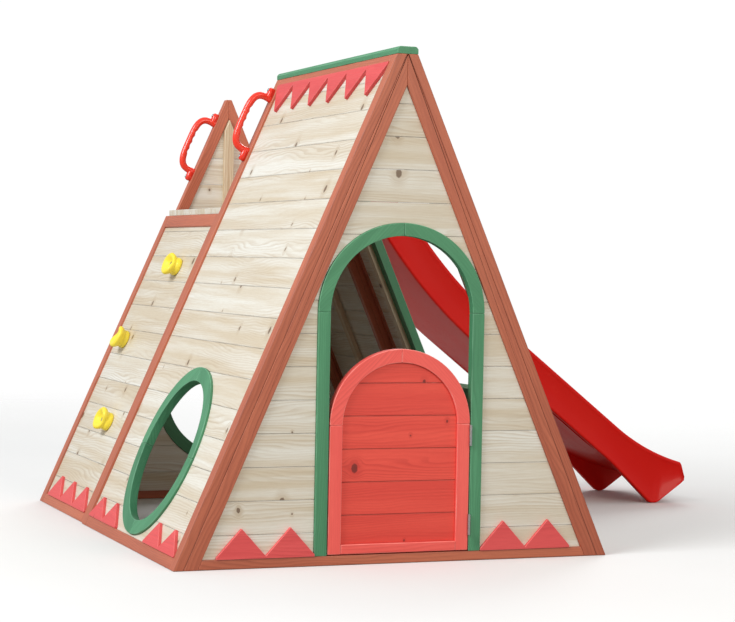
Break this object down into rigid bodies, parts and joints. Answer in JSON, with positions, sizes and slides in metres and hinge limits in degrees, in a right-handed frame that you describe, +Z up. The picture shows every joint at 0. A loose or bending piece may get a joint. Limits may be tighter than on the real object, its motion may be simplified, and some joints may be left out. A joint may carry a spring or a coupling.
{
  "type": "rock climbing wall play set",
  "caption": "Wooden A-frame playhouse with a climbing wall on one slope, a deck, a curved red slide, grab handles, framed windows and a hinged half door.",
  "frame": {"origin": "on the ground, at the middle of the object's plan box", "axes": "+X from the A-frame towards the slide's foot, +Y from the doorway gable to the rear gable, +Z up"},
  "size_m": [2.3196, 1.7423, 1.503],
  "materials": {
    "fir_boards": "clear finished fir, satin",
    "brown_stain": "red-brown wood stain, satin",
    "green_stain": "green wood stain, satin",
    "red_trim": "red wood stain, satin",
    "door_red": "red wood stain with the grain showing",
    "door_frame_red": "red wood stain, satin",
    "bare_batten": "planed softwood, no finish",
    "slide_plastic": "glossy moulded red plastic",
    "handle_plastic": "glossy moulded orange-red plastic",
    "hold_plastic": "moulded yellow plastic",
    "zinc_steel": "zinc plated steel"
  },
  "bodies": {
    "root": {"climb_boards": "fir_boards", "climb_rails": "brown_stain", "climb_stile_front": "brown_stain", "climb_stile_rear": "brown_stain", "climb_zigzag": "red_trim", "climbing_holds": "hold_plastic", "deck_bearers": "bare_batten", "deck_boards": "fir_boards", "door_jamb_left": "green_stain", "door_jamb_right": "green_stain", "doorway_arch": "green_stain", "frame_bolts": "zinc_steel", "front_gable_boards": "fir_boards", "front_rafter_left": "brown_stain", "front_rafter_right": "brown_stain", "front_sill": "brown_stain", "front_zigzags": "red_trim", "grab_handle_front": "handle_plastic", "grab_handle_rear": "handle_plastic", "handle_screws": "zinc_steel", "hinge_leaves_jamb": "zinc_steel", "hinge_pins": "zinc_steel", "hold_bolts": "zinc_steel", "left_bottom_rail": "brown_stain", "left_foot_zigzags": "red_trim", "left_ridge_zigzag": "red_trim", "left_slope_boards": "fir_boards", "left_stile_front": "brown_stain", "left_stile_rear": "brown_stain", "left_top_rail": "brown_stain", "mid_rafter_left": "brown_stain", "mid_rafter_right": "brown_stain", "rear_center_batten": "bare_batten", "rear_gable_boards": "fir_boards", "rear_rafter_left": "brown_stain", "rear_rafter_right": "brown_stain", "rear_sill": "brown_stain", "rear_window_frame": "green_stain", "ridge_cap": "green_stain", "right_bottom_rail": "brown_stain", "right_foot_zigzags": "red_trim", "right_ridge_zigzag": "red_trim", "right_slope_boards": "fir_boards", "right_stile_front": "brown_stain", "right_stile_rear": "brown_stain", "right_top_rail": "brown_stain", "round_window_frame": "green_stain", "side_window_battens": "bare_batten", "side_window_frame": "green_stain", "slide": "slide_plastic", "slide_screws": "zinc_steel", "slide_side_batten": "bare_batten", "slide_side_boards": "fir_boards", "slide_side_rails": "brown_stain", "slide_side_stiles": "brown_stain"},
    "door": {"door_boards": "door_red", "door_stiles": "door_frame_red", "door_arch_rail": "door_frame_red", "door_bottom_rail": "door_frame_red", "hinge_leaves_door": "zinc_steel"}
  },
  "joints": [
    {"name": "door_hinge", "type": "hinge", "parent": "root", "child": "door", "pos_m": [-0.25705, -0.86715, 0.238], "axis": [0, 0, 1], "range_deg": [0, 165]}
  ]
}
